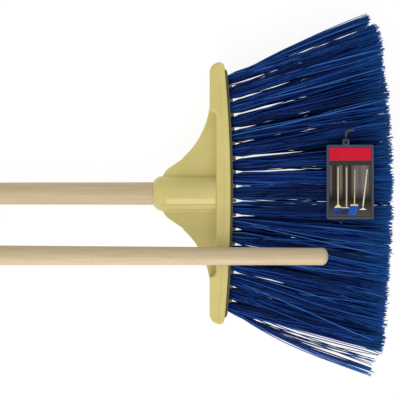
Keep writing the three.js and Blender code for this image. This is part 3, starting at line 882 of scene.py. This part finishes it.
# The box's ends are the lower edge of the butt and the crown of the domed tip.
lean = math.asin((high.z - low.z - COUPLING_RADIUS - TIP_RADIUS) / (UPPER_LENGTH - DOME / 2))
upper_axis = Vector((math.cos(lean), 0, math.sin(lean)))
butt = Vector((0, (low.y + high.y) / 2, 0))
butt.x = low.x + COUPLING_RADIUS * math.sin(lean)
butt.z = low.z + COUPLING_RADIUS * math.cos(lean)
upper_wood = sanded_beech("beech, upper section", lean)
grip = spun("upper_stick", [
    *eased_start(COUPLING_RADIUS),
    (SLEEVE_GRIP, COUPLING_RADIUS), (BELLY_AT, BELLY_RADIUS),
    *rounded_end(UPPER_LENGTH - DOME, TIP_RADIUS, DOME, 10),
])
smooth(grip)
place(grip, lay_matrix(butt, upper_axis), "upper_handle", upper_wood, ["handle_upper"])
print("lean", round(math.degrees(lean), 2))

# %% [markdown]
# ## Sleeve and rivet
# The sleeve is a rolled tube with a bead pressed in at its middle, where both sections stop. A rivet
# through the sleeve holds it on the lower section. The tube is spun from its wall's outline, and the
# rivet's two domed heads are spun with its shank as one piece. Both lie along the broom's axis.
# %% Sleeve
SLEEVE_BORE = COUPLING_RADIUS + FIT
SLEEVE_WALL = 1.2 * MM
SLEEVE_OUTSIDE = SLEEVE_BORE + SLEEVE_WALL
STOP_WIDTH = 3 * MM
STOP_DEPTH = 1.3 * MM
LIP = 0.35 * MM

sleeve_start = LOWER_LENGTH - SLEEVE_GRIP
stop = LOWER_LENGTH + FIT
sleeve_end = stop + STOP_WIDTH + FIT + SLEEVE_GRIP
sleeve = spun("sleeve_tube", [
    (sleeve_start, SLEEVE_BORE), (sleeve_start, SLEEVE_OUTSIDE - LIP),
    (sleeve_start + LIP, SLEEVE_OUTSIDE),
    (stop - 1.2 * MM, SLEEVE_OUTSIDE), (stop - 0.5 * MM, SLEEVE_OUTSIDE - 0.3 * STOP_DEPTH),
    (stop, SLEEVE_OUTSIDE - 0.8 * STOP_DEPTH), (stop + STOP_WIDTH / 2, SLEEVE_OUTSIDE - STOP_DEPTH),
    (stop + STOP_WIDTH, SLEEVE_OUTSIDE - 0.8 * STOP_DEPTH),
    (stop + STOP_WIDTH + 0.5 * MM, SLEEVE_OUTSIDE - 0.3 * STOP_DEPTH),
    (stop + STOP_WIDTH + 1.2 * MM, SLEEVE_OUTSIDE), (sleeve_end - LIP, SLEEVE_OUTSIDE),
    (sleeve_end, SLEEVE_OUTSIDE - LIP), (sleeve_end, SLEEVE_BORE),
    (stop + STOP_WIDTH, SLEEVE_BORE), (stop + STOP_WIDTH, SLEEVE_BORE - STOP_DEPTH),
    (stop, SLEEVE_BORE - STOP_DEPTH), (stop, SLEEVE_BORE), (sleeve_start, SLEEVE_BORE),
])
smooth(sleeve, 50)
place(sleeve, FROM_SOCKET, "lower_handle", zinc, ["coupling_sleeve"])

# %% Rivet
RIVET_RADIUS = 1.5 * MM
RIVET_HEAD = 3 * MM
RIVET_HEIGHT = 1.1 * MM

seat = SLEEVE_OUTSIDE + FIT
dome = rounded_end(seat, RIVET_HEAD, RIVET_HEIGHT, 6)
rivet = spun("rivet", [
    *[(-x, radius) for x, radius in reversed(dome)], (-seat, RIVET_RADIUS), (seat, RIVET_RADIUS), *dome,
], steps=32)
smooth(rivet)
rivet_place = Matrix.Translation(middle("sleeve_rivet")) @ Matrix.Rotation(math.pi / 2, 4, "Z")
place(rivet, rivet_place, "lower_handle", rivet_metal, ["sleeve_rivet"])

# %% [markdown]
# ## The hang tag
# The tag lies on the bristles, tilted as their top is. Its frame is a thin plate with rounded corners,
# a shallow recess for the card, and a slotted tab that the hook's ring passes through. The tag's flip
# joint gives the plate's direction, and the card, which is centred in the frame, gives its middle.
# %% Tag frame
TAG_WIDTH = 49 * MM
TAG_LENGTH = 77.4 * MM
TAG_THICKNESS = 1.8 * MM
TAG_CORNER = 2 * MM
TAG_BORDER = 2.4 * MM
TAG_RECESS = 1 * MM
CARD_THICKNESS = 0.5 * MM
TAB_OFFSET = -4.4 * MM
TAB_WIDTH = 7 * MM
TAB_LENGTH = 6 * MM
TAB_BAR = 1.5 * MM
SLOT_WIDTH = 2.8 * MM
SLOT_LENGTH = 3.6 * MM

tag_across = -Vector(joints["tag_flip"]["axis"]).normalized()
card_level = TAG_THICKNESS / 2 - TAG_RECESS + FIT + CARD_THICKNESS / 2
TAG = lay_matrix(middle("tag_card"), tag_across) @ Matrix.Translation((0, 0, -card_level))
bar_y = TAG_LENGTH / 2 + TAB_LENGTH - TAB_BAR / 2
half_w, half_l, half_t = TAG_WIDTH / 2, TAG_LENGTH / 2, TAG_THICKNESS / 2

plate = box_piece("tag_plate", (-half_w, -half_l, -half_t), (half_w, half_l, half_t))
bevel_edges(plate, lambda a, b: abs(a.z - b.z) > MM, TAG_CORNER, 5)
tab = box_piece(
    "tab", (TAB_OFFSET - TAB_WIDTH / 2, half_l - TAG_BORDER / 2, -half_t),
    (TAB_OFFSET + TAB_WIDTH / 2, half_l + TAB_LENGTH, half_t),
)
bevel_edges(tab, lambda a, b: abs(a.z - b.z) > MM and a.y > half_l, 1.2 * MM, 3)
cut_or_join(plate, tab, "UNION")
slot_top = bar_y - TAB_BAR / 2
slot = box_piece(
    "slot", (TAB_OFFSET - SLOT_WIDTH / 2, slot_top - SLOT_LENGTH, -PAST),
    (TAB_OFFSET + SLOT_WIDTH / 2, slot_top, PAST),
)
cut_or_join(plate, slot, "DIFFERENCE")
recess = box_piece(
    "recess", (TAG_BORDER - half_w, TAG_BORDER - half_l, half_t - TAG_RECESS),
    (half_w - TAG_BORDER, half_l - TAG_BORDER, half_t + PAST),
)
cut_or_join(plate, recess, "DIFFERENCE")
add_modifier(plate, "BEVEL", width=0.25 * MM, segments=2, limit_method="ANGLE")
smooth(plate)
place(plate, TAG, "hang_tag", tag_plastic, ["tag_frame"])

# %% [markdown]
# The card's print is a plain red field, a dark strip and a dark picture of four broom sticks against
# boards. Each printed area is a flat shape laid a hair above the one below it, with its ink colour at
# each corner, so that a board can fade from light to dark. Printing can't be modelled by extruding, so
# the shapes are written as corner points from the card's lower left.
# %% Printed card
CARD_WIDTH = TAG_WIDTH - 2 * TAG_BORDER - 2 * FIT
CARD_LENGTH = TAG_LENGTH - 2 * TAG_BORDER - 2 * FIT
PRINT_STEP = 0.02 * MM

card = box_piece(
    "card", (-CARD_WIDTH / 2, -CARD_LENGTH / 2, card_level - CARD_THICKNESS / 2),
    (CARD_WIDTH / 2, CARD_LENGTH / 2, card_level + CARD_THICKNESS / 2 - 8 * PRINT_STEP),
)
points = [vertex.co[:] for vertex in card.data.vertices]
shapes = [tuple(face.vertices) for face in card.data.polygons]
inks = [[linear("343848")] * len(shape) for shape in shapes]


def printed(corners, colours, layer):
    """A flat printed area; corners in mm from the card's lower left, one colour or one for each."""
    height = card_level + CARD_THICKNESS / 2 - (7 - layer) * PRINT_STEP
    first = len(points)
    for x, y in corners:
        points.append((x * MM - CARD_WIDTH / 2, y * MM - CARD_LENGTH / 2, height))
    shapes.append(tuple(range(first, first + len(corners))))
    inks.append([linear(c) for c in colours] if isinstance(colours, list) else
                [linear(colours)] * len(corners))


def printed_bar(x0, y0, x1, y1, low, high, layer):
    printed([(x0, y0), (x1, y0), (x1, y1), (x0, y1)], [low, low, high, high], layer)


def printed_line(x0, y0, x1, y1, width, low, high, layer):
    side = Vector((y0 - y1, x1 - x0)).normalized() * width / 2
    corners = [(x0 - side.x, y0 - side.y), (x1 - side.x, y1 - side.y),
               (x1 + side.x, y1 + side.y), (x0 + side.x, y0 + side.y)]
    printed(corners, [low, high, high, low], layer)


w, l = CARD_WIDTH / MM, CARD_LENGTH / MM
printed_bar(0.3, l - 13.6, w - 0.3, l - 0.3, "cc0a32", "cc0a32", 1)
printed_bar(0.3, l - 18.6, w - 0.3, l - 13.6, "2c2e27", "33352d", 1)
printed_bar(0.3, 0.3, w - 0.3, 15.5, "49443d", "24211c", 1)
printed_bar(0.3, 15.5, w - 0.3, 17.5, "24211c", "100f0c", 1)

boards = [
    (0.0, "5d5a4f"), (2.4, "312f25"), (4.6, "242018"), (7.2, "4f4a40"), (10.4, "6a635b"),
    (13.4, "2b2720"), (16.2, "4e4944"), (19.4, "27231f"), (22.8, "5a524d"), (26.4, "695f61"),
    (29.8, "5e5754"), (33.0, "726769"), (37.4, "605a54"), (40.6, "3f3c31"),
]
for (left, colour), (right, _) in zip(boards, [*boards[1:], (w - 0.6, "")]):
    printed_bar(left + 0.3, 17.5, right + 0.3, 30, "0f0e0b", colour, 2)
    printed_bar(left + 0.3, 30, right + 0.3, l - 18.6, colour, colour, 2)

printed_line(9.2, 11.0, 9.3, l - 20.5, 1.25, "ded3ac", "c2b79a", 4)
printed_line(18.0, 9.0, 18.1, l - 20.8, 1.35, "d2b393", "bdb09a", 4)
printed_line(26.2, 12.0, 26.6, l - 22.6, 1.15, "cdbf95", "a99d86", 4)
printed_line(35.0, 10.5, 39.4, l - 22.8, 1.3, "e4dfc8", "c9bfa2", 4)
printed(
    [(5.2, 9.2), (13.4, 9.2), (11.2, 11.3), (9.8, 13.0), (8.6, 13.0), (7.2, 11.3)], "e2d9a4", 5,
)
printed([(12.6, 8.8), (20.8, 8.8), (20.0, 9.8), (13.4, 9.8)], "d9cb9a", 5)
printed([(21.6, 11.2), (30.4, 11.2), (29.8, 12.7), (22.2, 12.7)], "e0cf8e", 5)
printed(
    [(30.6, 7.0), (39.2, 7.0), (36.2, 8.6), (35.6, 9.6), (34.6, 9.6), (34.0, 8.6)], "e6e2cc", 5,
)
printed(
    [(3.2, 3.6), (12.0, 2.4), (12.6, 8.8), (5.2, 9.2)], ["16366f", "122e60", "1d3f86", "234a96"], 4,
)
printed(
    [(12.0, 2.8), (20.2, 2.6), (20.4, 8.8), (12.6, 8.8)], ["14264a", "14264a", "1b3468", "1b3468"], 4,
)
printed(
    [(19.0, 2.4), (26.8, 0.9), (30.6, 11.2), (21.8, 11.2)], ["1650ae", "1a5cc4", "1550b4", "1148a2"], 6,
)

clear_selection()
sheet = bpy.data.meshes.new("printed_card")
sheet.from_pydata(points, [], shapes)
colours = sheet.color_attributes.new("ink", "FLOAT_COLOR", "CORNER")
colours.data.foreach_set("color", [v for shape in inks for colour in shape for v in colour])
bpy.data.objects.remove(card)
card = bpy.data.objects.new("printed_card", sheet)
bpy.context.scene.collection.objects.link(card)
place(card, TAG, "hang_tag", card_print, ["tag_card"])

# %% [markdown]
# ## The hook
# The hook is one moulding: a ring through the tab's slot and a shank that rises from it and bends over
# into a hook. The ring is a torus. The shank is a circle swept along a curve, because its radius
# changes on the way, and the two are joined into one skin.
# %% Hook
WIRE_RADIUS = 0.7 * MM
RING_RADIUS = 2.6 * MM
SHANK_RADIUS = 1.5 * MM

hook = start_piece(
    "hook", bpy.ops.mesh.primitive_torus_add, location=(TAB_OFFSET, bar_y, 0),
    rotation=(0, math.pi / 2, 0), major_radius=RING_RADIUS, minor_radius=WIRE_RADIUS,
    major_segments=48, minor_segments=16,
)
apply_transform(hook)
neck = bar_y + RING_RADIUS
route = [
    (TAB_OFFSET, neck, 0, 0.65), (TAB_OFFSET, neck + 1.5 * MM, 0, 0.9),
    (TAB_OFFSET, neck + 3 * MM, 0, 1.0), (TAB_OFFSET + 1.2 * MM, neck + 6 * MM, 0.2 * MM, 1.0),
    (TAB_OFFSET + 4 * MM, neck + 7.4 * MM, 0.3 * MM, 1.0),
    (TAB_OFFSET + 7 * MM, neck + 7.5 * MM, 0.2 * MM, 0.9),
    (TAB_OFFSET + 8.6 * MM, neck + 7.3 * MM, 0, 0.75),
]
curve = bpy.data.curves.new("shank", "CURVE")
curve.dimensions = "3D"
curve.bevel_depth = SHANK_RADIUS
curve.bevel_resolution = 4
curve.use_fill_caps = True
spline = curve.splines.new("BEZIER")
spline.bezier_points.add(len(route) - 1)
for point, (x, y, z, radius) in zip(spline.bezier_points, route):
    point.co = (x, y, z)
    point.radius = radius
    point.handle_left_type = point.handle_right_type = "AUTO"
shank = bpy.data.objects.new("shank", curve)
bpy.context.scene.collection.objects.link(shank)
clear_selection()
shank.select_set(True)
bpy.context.view_layer.objects.active = shank
bpy.ops.object.convert(target="MESH")
cut_or_join(hook, bpy.context.object, "UNION")
smooth(hook, 50)
place(hook, TAG, "tag_hook", hook_plastic, ["tag_hook"])

# %% [markdown]
# ## Floor, light and camera
# The floor is pale and even. The light is a soft dome with a large panel on the near side of the
# broom, so rounded pieces are lighter towards it. The camera looks straight down.
# %% Floor
SPAN = 6.0

floor = start_piece("floor", bpy.ops.mesh.primitive_plane_add, size=SPAN, location=(0, 0, 0))
floor_material, tree, shader = new_material("pale floor")
shader.inputs["Base Color"].default_value = grey(0.15)
shader.inputs["Roughness"].default_value = 0.9
shader.inputs["Emission Color"].default_value = grey(1.0)
shader.inputs["Emission Strength"].default_value = 0.87
floor.data.materials.append(floor_material)

# %% Light
DOME_BRIGHT = 0.93
DOME_DIM = 0.80

world = bpy.data.worlds.new("soft dome")
bpy.context.scene.world = world
world.use_nodes = True
tree = world.node_tree
direction = add_node(tree, "TexCoord").outputs["Generated"]
sides = add_node(tree, "SeparateXYZ", {"Vector": direction})
strength = add_node(
    tree, "MapRange",
    {
        "Value": sides.outputs["Y"], "From Min": -1.0, "From Max": 1.0,
        "To Min": DOME_BRIGHT, "To Max": DOME_DIM,
    },
)
tree.links.new(strength.outputs["Result"], tree.nodes["Background"].inputs["Strength"])
tree.nodes["Background"].inputs["Color"].default_value = grey(1.0)


def panel(name, location, target, size, power):
    bpy.ops.object.light_add(type="AREA", location=location)
    light = bpy.context.object
    light.name = name
    light.data.shape = "RECTANGLE"
    light.data.size, light.data.size_y = size
    light.data.energy = power
    light.rotation_euler = (Vector(target) - Vector(location)).to_track_quat("-Z", "Y").to_euler()
    return light


panel("near panel", (0.1, -1.4, 0.85), (0.1, 0, 0), (1.0, 1.7), 16.5)

# %% Camera
VIEW_MIDDLE = Vector((49.4, -6.9, 0)) * MM  # in the plane of the broom's axis
CAMERA_HEIGHT = 1800 * MM
VIEW_WIDTH = 424.8 * MM

aim = BROOM @ VIEW_MIDDLE
bpy.ops.object.camera_add(location=(aim.x, aim.y, aim.z + CAMERA_HEIGHT), rotation=(0, 0, 0))
camera = bpy.context.object
camera.data.sensor_width = 36
camera.data.lens = 36 * CAMERA_HEIGHT / VIEW_WIDTH
bpy.context.scene.camera = camera
bpy.context.scene.view_settings.view_transform = "Standard"
